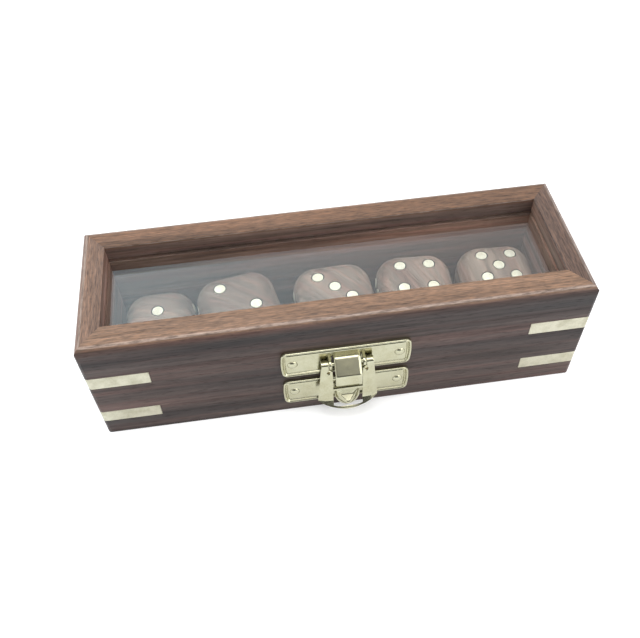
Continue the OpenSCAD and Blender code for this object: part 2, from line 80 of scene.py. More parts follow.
def ease_arrises(bm, along, ease):
    """Rounds off the long arrises that run with the grain, and leaves the mitres sharp.

    Where short edges meet an arris the bevel is clamped: on most boards that leaves it only
    a hundredth of a millimetre wide.
    """
    arrises = []
    for edge in bm.edges:
        if not edge.is_manifold or edge.calc_length() < LEAST_ARRIS * MM:
            continue
        run = (edge.verts[1].co - edge.verts[0].co).normalized()
        if abs(run[along]) > 0.999 and edge.calc_face_angle() > ARRIS_ANGLE:
            arrises.append(edge)
    bmesh.ops.bevel(bm, geom=arrises, offset=ease * MM, segments=3, profile=0.5,
                    affect="EDGES", clamp_overlap=True)


def finished(name, bm, finish, sharp=SHARP_DEGREES):
    """Turns a mesh in metres into a smooth-shaded piece with its finish."""
    bmesh.ops.recalc_face_normals(bm, faces=bm.faces)
    mesh = bpy.data.meshes.new(name)
    bm.to_mesh(mesh)
    bm.free()
    mesh.materials.append(finish)
    mesh.shade_smooth()
    mesh.set_sharp_from_angle(angle=math.radians(sharp))
    piece = bpy.data.objects.new(name, mesh)
    bpy.context.scene.collection.objects.link(piece)
    piece.modifiers.new("Flat faces stay flat", "WEIGHTED_NORMAL").keep_sharp = True
    return piece


def add_node(tree, kind, inputs, **settings):
    """Adds a shader node; inputs holds values, or the sockets that feed it."""
    made = tree.nodes.new("ShaderNode" + kind)
    for key, value in settings.items():
        setattr(made, key, value)
    for key, value in inputs.items():
        if isinstance(value, bpy.types.NodeSocket):
            tree.links.new(value, made.inputs[key])
        else:
            made.inputs[key].default_value = value
    return made


def add_ramp(tree, source, stops):
    """Colours a value from 0 to 1 by (place, colour) stops."""
    made = add_node(tree, "ValToRGB", {"Fac": source})
    band = made.color_ramp
    while len(band.elements) < len(stops):
        band.elements.new(1)
    for element, (place, colour) in zip(band.elements, stops):
        element.position = place
        element.color = (*colour, 1) if len(colour) == 3 else colour
    return made.outputs["Color"]


def grey(level):
    """A colour of equal red, green and blue."""
    return (level, level, level)


def tinted(tree, colour, other, share, blend="MULTIPLY"):
    """Blends a second colour over the first; the share is a number or a socket."""
    made = tree.nodes.new("ShaderNodeMix")
    made.data_type = "RGBA"
    made.blend_type = blend
    for key, value in (("Factor_Float", share), ("A_Color", colour), ("B_Color", other)):
        socket = next(s for s in made.inputs if s.identifier == key)
        if isinstance(value, bpy.types.NodeSocket):
            tree.links.new(value, socket)
        else:
            socket.default_value = value
    return next(s for s in made.outputs if s.identifier == "Result_Color")


def wood_noise(tree, place, across, stretch, detail=3, rough=0.55, bend=0.0):
    """Noise with so many cells a metre across the grain, drawn out along it."""
    scaled = add_node(tree, "Mapping", {
        "Vector": place,
        "Scale": (across / stretch, across, across),
    })
    made = add_node(tree, "TexNoise", {
        "Vector": scaled.outputs["Vector"],
        "Scale": 1.0,
        "Detail": detail,
        "Roughness": rough,
        "Distortion": bend,
    })
    return made.outputs["Fac"]


def rosewood(name, turn, start, figure, crown):
    """Oiled rosewood: dark figure, growth lines, fibre and open pores along the grain.

    The crown is the figure of the lid's very top, painted light: its colour stands for
    the light that falls on the top. A painted highlight lies along the top of the round-over.
    """
    finish = bpy.data.materials.new(name)
    finish.use_nodes = True
    tree = finish.node_tree
    skin = tree.nodes["Principled BSDF"]
    coords = add_node(tree, "TexCoord", {})
    place = add_node(tree, "Mapping", {
        "Vector": coords.outputs["Object"],
        "Location": start,
        "Rotation": (0, 0, turn),
    }).outputs["Vector"]
    height = add_node(tree, "SeparateXYZ", {"Vector": coords.outputs["Object"]}).outputs["Z"]
    climb = add_node(tree, "MapRange", {
        "Value": height, "From Min": CROWN_FROM * MM, "From Max": CROWN_TO * MM,
    }).outputs["Result"]
    # Painted light: the lid's top, from CROWN_FROM up, takes its own figure for the light that
    # falls on it.
    lit_top_share = add_ramp(tree, climb, [(0.0, grey(0)), (0.72, grey(1))])
    # Painted highlight: a light band along the crest, a little wear with the overhead lamp's
    # reflection painted on it.
    worn_highlight_band = add_ramp(tree, climb, [(0.5, grey(0)), (0.66, grey(1)), (0.8, grey(1)),
                                  (0.92, grey(0))])

    bands = wood_noise(tree, place, across=80, stretch=15, bend=0.4)
    lines = wood_noise(tree, place, across=560, stretch=38, detail=4, rough=0.62, bend=0.25)
    reds = wood_noise(tree, place, across=420, stretch=45, detail=2)
    fibre = wood_noise(tree, place, across=2300, stretch=16)
    flecks = wood_noise(tree, place, across=2500, stretch=8, rough=0.7)
    pores = wood_noise(tree, place, across=2900, stretch=11, detail=1)

    streaks = tinted(tree, add_ramp(tree, bands, figure), add_ramp(tree, lines, [
        (0.34, grey(0.5)), (0.46, grey(0.88)), (0.56, grey(1.05)), (0.7, grey(1.4))]), 0.9)
    streaks = tinted(tree, streaks, add_ramp(tree, reds, [
        (0.45, grey(1)), (0.62, (1.26, 0.98, 0.95))]), 0.7)
    # Painted light: the top's own figure and flecks, coloured for the light on the lid's top.
    lit_top_colour = tinted(tree, add_ramp(tree, bands, crown), add_ramp(tree, lines, [
        (0.34, grey(0.74)), (0.48, grey(0.95)), (0.68, grey(1.2))]), 0.8)
    lit_top_colour = tinted(tree, lit_top_colour, add_ramp(tree, flecks, [
        (0.36, (0.58, 0.62, 0.68)), (0.5, grey(1)), (0.64, (1.34, 1.26, 1.16))]), 0.85)
    # Painted highlight: the crest band, broken up by the flecks.
    rub_and_highlight = tinted(tree, worn_highlight_band, add_ramp(tree, flecks, [
        (0.38, grey(0.12)), (0.64, grey(0.55))]), 1.0)
    # Painted light and highlight: the top takes its lit figure, then the crest its highlight
    # colour.
    colour = tinted(tree, streaks, lit_top_colour, lit_top_share, "MIX")
    colour = tinted(tree, colour, WORN_HIGHLIGHT_WOOD, rub_and_highlight, "MIX")
    colour = tinted(tree, colour, add_ramp(tree, fibre, [
        (0.3, grey(0.72)), (0.7, grey(1.25))]), 0.7)
    open_pore = add_ramp(tree, pores, [(0.6, grey(1)), (0.68, grey(0.42))])
    colour = tinted(tree, colour, open_pore, 0.5)
    tree.links.new(colour, skin.inputs["Base Color"])

    matt = add_ramp(tree, lines, [(0.3, grey(0.5)), (0.7, grey(0.36))])
    matt = tinted(tree, matt, add_ramp(tree, pores, [(0.6, grey(0)), (0.7, grey(0.2))]),
                  1.0, "ADD")
    tree.links.new(matt, skin.inputs["Roughness"])

    relief = tinted(tree, add_ramp(tree, fibre, [(0.2, grey(0.7)), (0.8, grey(1))]),
                    open_pore, 0.8)
    bump = add_node(tree, "Bump", {"Height": relief, "Strength": 0.3, "Distance": 0.04 * MM})
    tree.links.new(bump.outputs["Normal"], skin.inputs["Normal"])
    skin.inputs["Specular IOR Level"].default_value = OIL_SHEEN
    return finish


def figure_of(dark, light):
    """Stops of a colour band from the heartwood's dark to its light."""
    return [(at, tuple(d + (l - d) * share for d, l in zip(dark, light)))
            for at, share in ((0.32, 0.0), (0.45, 0.35), (0.56, 0.7), (0.7, 1.0))]


QUARTER = math.pi / 2
# Painted light and shade: the boards' figures are lit and shaded copies of one rosewood, the
# front's darkest, the back's and left end's lighter, the right end's lightest; each crown is
# painted for the light on the lid's top.
SHADED_FRONT_FIGURE = figure_of((0.020, 0.016, 0.016), (0.084, 0.055, 0.047))
WARM_FIGURE = figure_of((0.075, 0.052, 0.045), (0.265, 0.172, 0.134))
ORANGE_CROWN = figure_of((0.109, 0.067, 0.048), (0.234, 0.139, 0.091))
BACK_CROWN = figure_of((0.108, 0.062, 0.041), (0.218, 0.118, 0.073))
LIT_FIGURE = figure_of((0.110, 0.074, 0.062), (0.350, 0.228, 0.176))
BROWN_CROWN = figure_of((0.130, 0.080, 0.060), (0.245, 0.145, 0.100))
DARK_CROWN = figure_of((0.058, 0.038, 0.031), (0.138, 0.086, 0.066))

front_wood = rosewood("Front rosewood", 0, (0.31, 0.12, 0.05), SHADED_FRONT_FIGURE, ORANGE_CROWN)
back_wood = rosewood("Back rosewood", 0, (1.42, 0.33, 0.21), WARM_FIGURE, BACK_CROWN)
left_wood = rosewood("Left end rosewood", QUARTER, (2.11, 0.57, 0.13), WARM_FIGURE,
                     BROWN_CROWN)
right_wood = rosewood("Right end rosewood", QUARTER, (3.27, 0.81, 0.44), LIT_FIGURE,
                      DARK_CROWN)

BOARDS = {
    "front": (0, front_wood),
    "back": (0, back_wood),
    "left": (1, left_wood),
    "right": (1, right_wood),
}

for side, (along, wood) in BOARDS.items():
    node = "base_" + side
    board = sawn_board(node)
    ease_arrises(board, along, ARRIS_EASE)
    wall = finished(node + "_board", board, wood)
    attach(wall, "base")
    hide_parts(node)


# Floor panel
# One plain board of the same wood, let into the rebate under the walls. Its underside is
# flush with them and is what the box stands on.

FLOOR_FIGURE = figure_of((0.040, 0.026, 0.021), (0.150, 0.095, 0.070))

floor_wood = rosewood("Floor rosewood", 0, (4.2, 0.9, 0.7), FLOOR_FIGURE, FLOOR_FIGURE)
panel = sawn_board("base_floor")
ease_arrises(panel, 0, ARRIS_EASE / 2)
floor_panel = finished("base_floor_panel", panel, floor_wood)
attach(floor_panel, "base")
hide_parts("base_floor")


# Corner inlays of the base
# At each corner an L of brass strip is let into the wood round the mitre, glued, and
# ground flush with it. A hair of dark glue shows round each strip.

STRIP_T = 1.5
STRIP_END_L = 18.6
STRIP_FRONT_L = 18.6
CASE_CORNER_R = 1.2
GLUE_LINE = 0.06
CORNER_STEPS = 6
STRIP_EDGE = 0.06
PIT_SHADE_BROWN = (0.30, 0.23, 0.13)

# The strips are flush with the case, so their box gives its half length and half width.
HALF_L, HALF_W, _ = node_box("base_inlays")[1]


def brass(name, colour, shade, rough, dents, scratch, metal=1.0, pits=(), pit_r=1):
    """Yellow-white brass with a faint tarnish, fine scratches and a little unevenness.

    It is painted brown inside the pits, which are spots in millimetres, as painted shade of
    the hollows.
    """
    finish = bpy.data.materials.new(name)
    finish.use_nodes = True
    tree = finish.node_tree
    skin = tree.nodes["Principled BSDF"]
    place = add_node(tree, "TexCoord", {}).outputs["Object"]
    cloud = add_node(tree, "TexNoise", {
        "Vector": place, "Scale": 260.0, "Detail": 4.0, "Roughness": 0.6}).outputs["Fac"]
    speck = add_node(tree, "TexNoise", {
        "Vector": place, "Scale": 2200.0, "Detail": 2.0}).outputs["Fac"]
    base = add_ramp(tree, cloud, [(0.35, shade), (0.6, colour)])
    base = tinted(tree, base, add_ramp(tree, speck, [(0.3, grey(0.8)), (0.55, grey(1))]), 0.5)
    # Painted shade: a brown disc in each dimple for the dark of its hollow.
    for pit in pits:
        far = add_node(tree, "VectorMath", {0: place, 1: pit * MM}, operation="DISTANCE")
        near = add_node(tree, "MapRange", {
            "Value": far.outputs["Value"], "From Max": pit_r * MM}).outputs["Result"]
        base = tinted(tree, base, add_ramp(tree, near, [
            (0.7, PIT_SHADE_BROWN), (1.0, grey(1))]), 1.0)
    tree.links.new(base, skin.inputs["Base Color"])
    skin.inputs["Metallic"].default_value = metal
    blur = add_ramp(tree, cloud, [(0.3, grey(rough * 1.4)), (0.65, grey(rough * 0.8))])
    tree.links.new(blur, skin.inputs["Roughness"])
    rub = add_node(tree, "Mapping", {"Vector": place, "Scale": (300, 4200, 4200)})
    rub_and_highlight = add_node(tree, "TexNoise", {
        "Vector": rub.outputs["Vector"], "Scale": 1.0, "Detail": 2.0}).outputs["Fac"]
    fine = add_node(tree, "Bump", {
        "Height": rub_and_highlight, "Strength": scratch, "Distance": 0.02 * MM})
    swell = add_node(tree, "TexNoise", {
        "Vector": place, "Scale": 330.0, "Detail": 1.0}).outputs["Fac"]
    uneven = add_node(tree, "Bump", {
        "Height": swell, "Strength": dents, "Distance": 0.2 * MM,
        "Normal": fine.outputs["Normal"]})
    tree.links.new(uneven.outputs["Normal"], skin.inputs["Normal"])
    return finish


inlay_brass = brass("Inlay brass", (0.515, 0.49, 0.385), (0.445, 0.42, 0.32), rough=0.42,
                    dents=0.05, scratch=0.2)


def strip_plan(sx, sy):
    """Plan of one L: the outer sides round the corner, then back along the inner sides."""
    long_l = STRIP_FRONT_L - GLUE_LINE
    end_l = STRIP_END_L - GLUE_LINE
    thick = STRIP_T - GLUE_LINE
    points = [(HALF_L - long_l, HALF_W)]
    for step in range(CORNER_STEPS + 1):
        angle = QUARTER * (1 - step / CORNER_STEPS)
        points.append((
            HALF_L - CASE_CORNER_R * (1 - math.cos(angle)),
            HALF_W - CASE_CORNER_R * (1 - math.sin(angle)),
        ))
    points += [
        (HALF_L, HALF_W - end_l),
        (HALF_L - thick, HALF_W - end_l),
        (HALF_L - thick, HALF_W - thick),
        (HALF_L - long_l, HALF_W - thick),
    ]
    return [(sx * x, sy * y) for x, y in points]


def join_rings(bm, ring, after):
    """A closed band of faces between two rings of equally many points."""
    for i in range(len(ring)):
        j = (i + 1) % len(ring)
        bm.faces.new((ring[i], ring[j], after[j], after[i]))


def add_prism(bm, outline, low, high, place=lambda x, y, z: (x, y, z)):
    """Adds a closed prism over an outline, between two heights, in millimetres."""
    under, over = ([bm.verts.new(Vector(place(x, y, height)) * MM) for x, y in outline]
                   for height in (low, high))
    bm.faces.new(under[::-1])
    bm.faces.new(over)
    join_rings(bm, under, over)


def round_edges(bm, width, angle=SHARP_DEGREES, steps=2):
    """Rounds every edge that is sharper than the angle."""
    least = math.radians(angle)
    sharp = [e for e in bm.edges if e.is_manifold and e.calc_face_angle() > least]
    bmesh.ops.bevel(bm, geom=sharp, offset=width * MM, segments=steps, profile=0.5,
                    affect="EDGES", clamp_overlap=True)


def corner_strips(name, node, body):
    """The four strips of the lid or the base, as high as their node."""
    low, high = node_box(node)
    bm = bmesh.new()
    for sx in (-1, 1):
        for sy in (-1, 1):
            add_prism(bm, strip_plan(sx, sy), low.z + GLUE_LINE, high.z - GLUE_LINE)
    bmesh.ops.recalc_face_normals(bm, faces=bm.faces)
    round_edges(bm, STRIP_EDGE, steps=1)
    strips = finished(name, bm, inlay_brass)
    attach(strips, body)
    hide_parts(node)


corner_strips("base_corner_strips", "base_inlays", "base")


# Dice
# Five hand-cut cubes of the same wood, each a little different, with edges and corners
# rounded almost to balls. Twenty-one brass pins are driven into drilled holes in each
# and sanded flush, which leaves a thin dark ring round every pip; the holes' walls are
# painted near-black, as painted shade for that narrow gap.

DIE_EDGE_R = 7.6
DIE_GRID = 40
DIE_TURNS = {1: 0, 2: 10, 3: 2, 4: -3, 5: -3}
DIE_FACES = {1: (1, 2, 3), 2: (2, 3, 1), 3: (3, 1, 2), 4: (4, 2, 1), 5: (5, 3, 6)}
PIP_PITCH = 4.7
PIP_R = 1.74
PIP_RING = 0.32
PIP_DEPTH = 1.6
PIP_RINGS = 4
PIP_SIDES = 28
DRILL_DEEPER = 0.6
DRILL_ABOVE = 1
OFF_SURFACE = 0.1

DIE_FIGURE = figure_of((0.128, 0.094, 0.077), (0.258, 0.202, 0.165))
# Painted shade for the walls and floors of the pip holes.
DARK_HOLE = figure_of((0.006, 0.005, 0.004), (0.015, 0.011, 0.009))
DIE_GRAIN = {1: (5.1, 0.3, 1.0), 2: (6.4, 1.1, 0.2), 3: (7.7, 0.5, 0.4),
             4: (8.2, 0.7, 1.3), 5: (9.6, 0.2, 0.8)}
GRAIN_TURN = 0.3

pip_brass = brass("Pip brass", (0.82, 0.785, 0.65), (0.72, 0.68, 0.54), rough=0.45,
                  dents=0.05, scratch=0.2, metal=0.4)
# Painted shade: near-black wood for the holes round the pins.
hole_shade_wood = rosewood("Pip hole painted shade", 0, (10.3, 0.4, 0.6), DARK_HOLE, DARK_HOLE)


def die_surface(point, half):
    """Draws a point of a cube in to the cube's rounded form."""
    core = half - DIE_EDGE_R
    inner = Vector([max(-core, min(core, c)) for c in point])
    out = point - inner
    return inner + out.normalized() * DIE_EDGE_R


def face_turn(index):
    """Turns the top face to each of the six: top, under, front, back, right, left."""
    return (
        Matrix.Identity(3),
        Matrix.Rotation(math.pi, 3, "X"),
        Matrix.Rotation(QUARTER, 3, "X"),
        Matrix.Rotation(-QUARTER, 3, "X"),
        Matrix.Rotation(QUARTER, 3, "Y"),
        Matrix.Rotation(-QUARTER, 3, "Y"),
    )[index]


def pip_spots(value):
    """Where a face's pips lie, in units of their pitch."""
    spots = []
    if value % 2 == 1:
        spots.append((0, 0))
    if value > 1:
        spots += [(-1, 1), (1, -1)]
    if value > 3:
        spots += [(1, 1), (-1, -1)]
    if value > 5:
        spots += [(-1, 0), (1, 0)]
    return spots


def die_values(number):
    """The numbers on a die's six faces; opposite faces add up to seven."""
    top, front, right = DIE_FACES[number]
    return (top, 7 - top, front, 7 - front, right, 7 - right)


def die_height(x, y, half):
    """Height of the rounded surface above a spot of the top face, from the die's middle."""
    core = half - DIE_EDGE_R
    over = math.hypot(max(abs(x) - core, 0), max(abs(y) - core, 0))
    return core + math.sqrt(max(DIE_EDGE_R ** 2 - over ** 2, 0))


def add_die_body(bm, half):
    """A cube of square grids, drawn in to the rounded form."""
    ticks = [half * math.tan(QUARTER / 2 * (2 * i / DIE_GRID - 1))
             for i in range(DIE_GRID + 1)]
    for index in range(6):
        turn = face_turn(index)
        grid = [[bm.verts.new(turn @ die_surface(Vector((u, v, half)), half) * MM)
                 for v in ticks] for u in ticks]
        for i in range(DIE_GRID):
            for j in range(DIE_GRID):
                bm.faces.new((grid[i][j], grid[i + 1][j], grid[i + 1][j + 1], grid[i][j + 1]))
    bmesh.ops.remove_doubles(bm, verts=bm.verts, dist=WELD * MM)


def add_pins(bm, number, half, radius, drill):
    """Round pins that end flush in every face, or the drill's longer cuts for them."""
    for index, value in enumerate(die_values(number)):
        turn = face_turn(index)
        for sx, sy in pip_spots(value):
            x0 = sx * PIP_PITCH
            y0 = sy * PIP_PITCH
            foot = half - PIP_DEPTH - (DRILL_DEEPER if drill else 0)
            tops = []
            for ring in range(PIP_RINGS + 1):
                reach = radius * (1 - ring / PIP_RINGS)
                row = []
                for side in range(PIP_SIDES if ring < PIP_RINGS else 1):
                    angle = 2 * math.pi * side / PIP_SIDES
                    x = x0 + reach * math.cos(angle)
                    y = y0 + reach * math.sin(angle)
                    rise = half + DRILL_ABOVE if drill else die_height(x, y, half)
                    row.append(bm.verts.new(turn @ Vector((x, y, rise)) * MM))
                tops.append(row)
            base = []
            for side in range(PIP_SIDES):
                angle = 2 * math.pi * side / PIP_SIDES
                x = x0 + radius * math.cos(angle)
                y = y0 + radius * math.sin(angle)
                base.append(bm.verts.new(turn @ Vector((x, y, foot)) * MM))
            bm.faces.new(base[::-1])
            for side in range(PIP_SIDES):
                after = (side + 1) % PIP_SIDES
                bm.faces.new((base[side], base[after], tops[0][after], tops[0][side]))
                for ring in range(PIP_RINGS - 1):
                    bm.faces.new((tops[ring][side], tops[ring][after],
                                  tops[ring + 1][after], tops[ring + 1][side]))
                bm.faces.new((tops[PIP_RINGS - 1][side], tops[PIP_RINGS - 1][after],
                              tops[PIP_RINGS][0]))


def cut_away(piece, cutter_bm):
    """Cuts a closed shape out of a piece, for good."""
    mesh = bpy.data.meshes.new("Cutter")
    bmesh.ops.recalc_face_normals(cutter_bm, faces=cutter_bm.faces)
    cutter_bm.to_mesh(mesh)
    cutter_bm.free()
    cutter = bpy.data.objects.new("Cutter", mesh)
    bpy.context.scene.collection.objects.link(cutter)
    step = piece.modifiers.new("Cut", "BOOLEAN")
    step.operation = "DIFFERENCE"
    step.solver = "EXACT"
    step.object = cutter
    graph = bpy.context.evaluated_depsgraph_get()
    piece.modifiers.move(len(piece.modifiers) - 1, 0)
    kept = [m for m in piece.modifiers if m != step]
    shown = [m.show_viewport for m in kept]
    for m in kept:
        m.show_viewport = False
    graph.update()
    result = bpy.data.meshes.new_from_object(piece.evaluated_get(graph))
    for m, was in zip(kept, shown):
        m.show_viewport = was
    piece.modifiers.remove(step)
    old = piece.data
    piece.data = result
    bpy.data.meshes.remove(old)
    bpy.data.objects.remove(cutter)
    bpy.data.meshes.remove(mesh)
    piece.data.set_sharp_from_angle(angle=math.radians(SHARP_DEGREES))


for number, turn in DIE_TURNS.items():
    node = f"die_{number}"
    low, high = node_box(node)
    half = (high.z - low.z) / 2
    middle = (low + high) / 2
    stand = Matrix.Translation(middle * MM) @ Matrix.Rotation(math.radians(turn), 4, "Z")

    die_wood = rosewood(f"Die {number} rosewood", GRAIN_TURN * number, DIE_GRAIN[number],
                        DIE_FIGURE, DIE_FIGURE)
    bm = bmesh.new()
    add_die_body(bm, half)
    die = finished(node + "_cube", bm, die_wood)
    holes = bmesh.new()
    add_pins(holes, number, half, PIP_R + PIP_RING, drill=True)
    cut_away(die, holes)
    # The holes' walls and floors take the near-black painted shade.
    die.data.materials.append(hole_shade_wood)
    for face in die.data.polygons:
        spot = face.center / MM
        if (spot - die_surface(spot, half)).length > OFF_SURFACE:
            face.material_index = 1
    die.data.transform(stand)
    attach(die, node)
    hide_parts(node)

    bm = bmesh.new()
    add_pins(bm, number, half, PIP_R, drill=False)
    bm.transform(stand)
    pips = finished(node + "_brass_pips", bm, pip_brass)
    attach(pips, node)
    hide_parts(node + "_pips")


# Lid boards
# The same four boards above the saw cut. Their top outer edges are rounded over, and a
# groove round the inside holds the glass.

for side, (along, wood) in BOARDS.items():
    node = "lid_" + side
    board = sawn_board(node)
    ease_arrises(board, along, ARRIS_EASE)
    rail = finished(node + "_rail", board, wood, sharp=30)
    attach(rail, "lid")
    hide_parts(node)


# Glass pane
# Plain float glass, 2 mm thick, cut square. It went into the groove, which hides its edges,
# while the lid was glued up, and it lets the lamps through to the dice.

PANE_TINT = (0.96, 0.97, 0.955, 1)
PANE_SHADOW = (0.93, 0.94, 0.93, 1)
GLASS_IOR = 1.52


def clear_glass():
    """Glass with a trace of dust, which the lamps shine through and the eye sees bent."""
    finish = bpy.data.materials.new("Clear glass")
    finish.use_nodes = True
    tree = finish.node_tree
    skin = tree.nodes["Principled BSDF"]
    skin.inputs["Base Color"].default_value = PANE_TINT
    skin.inputs["Transmission Weight"].default_value = 1.0
    skin.inputs["IOR"].default_value = GLASS_IOR
    place = add_node(tree, "TexCoord", {}).outputs["Object"]
    dust = add_node(tree, "TexNoise", {
        "Vector": place, "Scale": 90.0, "Detail": 6.0, "Roughness": 0.7}).outputs["Fac"]
    film = add_ramp(tree, dust, [(0.45, grey(0.0)), (0.8, grey(0.02))])
    tree.links.new(film, skin.inputs["Roughness"])
    lamps = add_node(tree, "LightPath", {}).outputs["Is Shadow Ray"]
    through = add_node(tree, "BsdfTransparent", {"Color": PANE_SHADOW})
    mixed = add_node(tree, "MixShader", {
        0: lamps, 1: skin.outputs["BSDF"], 2: through.outputs["BSDF"]})
    tree.links.new(mixed.outputs["Shader"], tree.nodes["Material Output"].inputs["Surface"])
    return finish


low, high = node_box("glass_pane")
bm = bmesh.new()
add_prism(bm, [(low.x, low.y), (high.x, low.y), (high.x, high.y), (low.x, high.y)],
          low.z, high.z)
pane = finished("glass_pane_sheet", bm, clear_glass())
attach(pane, "lid")
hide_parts("glass_pane")


# Corner inlays of the lid
# The same brass strips as on the base, glued into the lid's corners and ground flush with
# it. They lie as far above the seam as the base's lie below it.

corner_strips("lid_corner_strips", "lid_inlays", "lid")


# Butt hinges
# Two small bent-sheet hinges at the back: leaves let into the seam, knuckles rolled round a
# wire pin, and two countersunk nails a leaf. They keep the shapes they have in the frame.

hinge_brass = brass("Hinge brass", (0.66, 0.58, 0.34), (0.48, 0.41, 0.22), rough=0.26,
                    dents=0.15, scratch=0.12)


def dress(node, finish):
    """Gives its finish to a piece that shows as it stands in the frame."""
    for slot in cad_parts[node].material_slots:
        slot.material = finish


for side in ("left", "right"):
    for part in ("base_leaf", "lid_leaf", "pin"):
        dress(f"{side}_hinge_{part}", hinge_brass)
dress("base_hinge_nails", hinge_brass)
dress("lid_hinge_nails", hinge_brass)


# Lower latch plate and its catch
# A stamped plate of thin brass with a raised rim and bowed ends. The wedge-shaped catch is
# pressed out of it: a sloping top facet runs down to a point, over a round, undercut chin.

PLATE_T = 0.8
PLATE_CORNER_R = 1.6
PLATE_BOW = 0.5
RIM_SECTION = (
    (0.00, 0.00), (0.00, 0.80), (0.04, 0.98), (0.14, 1.12), (0.34, 1.20), (0.52, 1.16),
    (0.70, 0.98), (0.86, 0.72), (1.00, 0.52), (1.14, 0.45), (1.28, 0.52), (1.52, 0.70),
    (1.66, 0.78), (1.85, 0.80),
)
PLATE_ARC_STEPS = 7
PLATE_SHARP = 60
LEAST_CORNER_R = 0.35
CATCH_W = 8.0
CATCH_FOOT_UP = 0.35
CATCH_HEAD_DOWN = 3.54
CATCH_TOP_OUT = 1.5
CATCH_RIM_OUT = 4.4
CATCH_TIP_UP = 2.75
CATCH_ARC_STEPS = 18
CATCH_BROW = (4.0, 2.4, 0.96)
CATCH_CHEEK = (2.2, 3.55, 3.3)
CATCH_EDGE = 0.22
BRIGHT_BRASS = (0.475, 0.46, 0.33)
DULL_BRASS = (0.43, 0.41, 0.28)

latch_brass = brass("Latch brass", BRIGHT_BRASS, DULL_BRASS, rough=0.2, dents=0.12,
                    scratch=0.04)
plate_low, plate_high = node_box("base_plate")
LATCH_X = (plate_low.x + plate_high.x) / 2


def plate_outline(half_l, half_h, inset):
    """Face-on outline of a plate: round corners, and ends that bow out."""
    length = half_l - inset
    height = half_h - inset
    corner = max(PLATE_CORNER_R - inset, LEAST_CORNER_R)
    points = []
    for quarter in range(4):
        sx = (1, -1, -1, 1)[quarter]
        sz = (1, 1, -1, -1)[quarter]
        for step in range(PLATE_ARC_STEPS + 1):
            angle = QUARTER * (quarter + step / PLATE_ARC_STEPS)
            x = sx * (length - corner) + corner * math.cos(angle)
            z = sz * (height - corner) + corner * math.sin(angle)
            points.append((x - math.copysign(PLATE_BOW * (z / half_h) ** 2, x), z))
        if quarter in (0, 2):
            continue
        for step in range(1, PLATE_ARC_STEPS):
            z = -sz * (height - corner) * (2 * step / PLATE_ARC_STEPS - 1)
            x = sx * length
            points.append((x - math.copysign(PLATE_BOW * (z / half_h) ** 2, x), z))
    return points


def on_latch(x, out, z):
    """A spot given from the latch's middle, its reach from the case's front, and height."""
    return Vector((LATCH_X + x, -HALF_W - out, z)) * MM


def add_plate(bm, low_z, high_z, half_l):
    """The stamped plate: rings that follow the rim's section, closed front and back."""
    middle = (low_z + high_z) / 2
    half_h = (high_z - low_z) / 2
    rings = []
    for inset, out in RIM_SECTION:
        outline = plate_outline(half_l, half_h, inset)
        rings.append([bm.verts.new(on_latch(x, out, middle + z)) for x, z in outline])
    for ring, after in zip(rings, rings[1:]):
        join_rings(bm, ring, after)
    bm.faces.new(rings[0][::-1])
    bm.faces.new(rings[-1])


def add_catch(bm, low_z, high_z, tip_out):
    """The wedge: a brow, a hollow facet down to the point, and a chin round below it."""
    radius = CATCH_W / 2
    centre = low_z + radius
    chin = []
    for step in range(CATCH_ARC_STEPS + 1):
        angle = math.pi * (1 + step / CATCH_ARC_STEPS)
        x = radius * math.cos(angle)
        z = centre + radius * math.sin(angle)
        share = (high_z - z) / (high_z - low_z)
        chin.append((x, CATCH_TOP_OUT + (CATCH_RIM_OUT - CATCH_TOP_OUT) * share, z))
    outline = [(-radius, CATCH_TOP_OUT, high_z)] + chin + [(radius, CATCH_TOP_OUT, high_z)]
    front = [bm.verts.new(on_latch(*spot)) for spot in outline]
    back = [bm.verts.new(on_latch(x, PLATE_T / 2, z)) for x, _, z in outline]
    tip = bm.verts.new(on_latch(0, tip_out, low_z + CATCH_TIP_UP))
    brow, cheek = ([bm.verts.new(on_latch(side * x, out, high_z - down)) for side in (-1, 1)]
                   for x, out, down in (CATCH_BROW, CATCH_CHEEK))
    for i in range(1, len(front) - 2):
        bm.faces.new((front[i], front[i + 1], tip))
    for i in range(len(front) - 1):
        bm.faces.new((back[i], back[i + 1], front[i + 1], front[i]))
    bm.faces.new((front[0], front[-1], brow[1], brow[0]))
    bm.faces.new((brow[0], brow[1], cheek[1], cheek[0]))
    bm.faces.new((cheek[0], cheek[1], tip))
    for side, i, j in ((0, 0, 1), (1, -1, -2)):
        bm.faces.new((front[i], front[j], brow[side]))
        bm.faces.new((front[j], tip, brow[side]))
        bm.faces.new((brow[side], cheek[side], tip))
    bm.faces.new((back[-1], back[0], front[0], front[-1]))
    bm.faces.new(back[::-1])


def merge(bm, other):
    """Moves another mesh's faces into this one."""
    carrier = bpy.data.meshes.new("Carrier")
    other.to_mesh(carrier)
    other.free()
    bm.from_mesh(carrier)
    bpy.data.meshes.remove(carrier)


bm = bmesh.new()
add_plate(bm, plate_low.z, plate_high.z, (plate_high.x - plate_low.x) / 2)
catch = bmesh.new()
add_catch(catch, plate_low.z + CATCH_FOOT_UP, plate_high.z - CATCH_HEAD_DOWN,
          -HALF_W - plate_low.y)
bmesh.ops.recalc_face_normals(catch, faces=catch.faces)
round_edges(catch, CATCH_EDGE, angle=12, steps=3)
merge(bm, catch)
lower_plate = finished("base_latch_plate", bm, latch_brass, sharp=PLATE_SHARP)
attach(lower_plate, "base")
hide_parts("base_plate")


# Nails of the latch plates
# Two short brass nails in each plate, driven through it into the board. Their low domed
# heads stand on the sheet.

